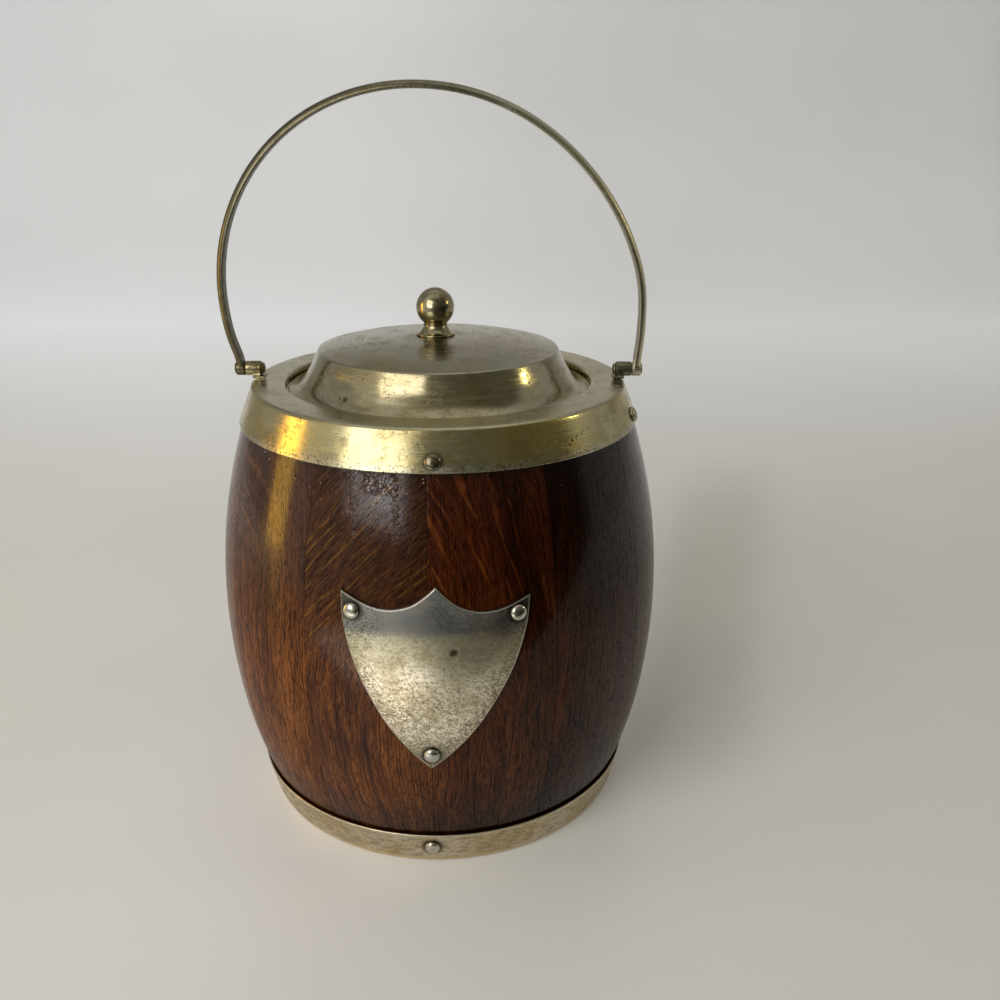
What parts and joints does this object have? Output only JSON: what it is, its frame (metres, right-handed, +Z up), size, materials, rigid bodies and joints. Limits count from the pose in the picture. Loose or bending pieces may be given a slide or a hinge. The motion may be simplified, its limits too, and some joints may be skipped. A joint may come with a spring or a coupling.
{
  "type": "biscuit barrel",
  "caption": "Coopered oak biscuit barrel with plated rim, base band and blank shield, a lift-off lid with ball finial, a ceramic liner and a swinging bail handle.",
  "frame": {"origin": "centre of the foot, on the surface the barrel stands on", "axes": "+Z up along the barrel's axis, -Y to the front with the shield, X along the bail's hinge pins"},
  "size_m": [0.1586, 0.1603, 0.2518],
  "materials": {
    "oak": "dark varnished oak, glossy",
    "board_oak": "plain sawn oak, unvarnished",
    "liner_glaze": "cream white glaze",
    "worn_plate": "worn silver plate with brassy tone, satin",
    "pale_plate": "worn silver plate, mottled tarnish",
    "shield_plate": "silver plate with speckled tarnish",
    "lid_plate": "dull nickel silver, satin",
    "finial_metal": "dark nickel silver, polished",
    "hinge_metal": "dark nickel silver",
    "bail_wire": "drawn nickel silver wire",
    "pin_metal": "domed nickel silver pin heads"
  },
  "bodies": {
    "barrel": {"oak_stave_01": "oak", "oak_stave_02": "oak", "oak_stave_03": "oak", "oak_stave_04": "oak", "oak_stave_05": "oak", "oak_stave_06": "oak", "oak_stave_07": "oak", "oak_stave_08": "oak", "oak_stave_09": "oak", "oak_stave_10": "oak", "oak_stave_11": "oak", "oak_stave_12": "oak", "oak_base_board": "board_oak", "ceramic_liner": "liner_glaze", "rim_collar": "worn_plate", "rim_pin_front": "pin_metal", "rim_pin_right": "pin_metal", "rim_pin_back": "pin_metal", "rim_pin_left": "pin_metal", "base_band": "pale_plate", "base_pin_front": "pin_metal", "base_pin_right": "pin_metal", "base_pin_back": "pin_metal", "base_pin_left": "pin_metal", "shield_plate": "shield_plate", "shield_pin_left": "pin_metal", "shield_pin_right": "pin_metal", "shield_pin_bottom": "pin_metal", "hinge_lug_left": "hinge_metal", "hinge_lug_right": "hinge_metal", "hinge_pin_left": "hinge_metal", "hinge_pin_right": "hinge_metal"},
    "lid": {"lid_shell": "lid_plate", "lid_locating_ring": "lid_plate", "finial_knob": "finial_metal", "finial_nut": "finial_metal"},
    "bail": {"bail_handle": "bail_wire"}
  },
  "joints": [
    {"name": "bail_swing", "type": "hinge", "parent": "barrel", "child": "bail", "pos_m": [0, 0, 0.1576], "axis": [1, 0, 0], "range_deg": [-118, 118]},
    {"name": "lid_lift", "type": "slide", "parent": "barrel", "child": "lid", "axis": [0, 0, 1], "range_m": [0, 0.06]}
  ]
}
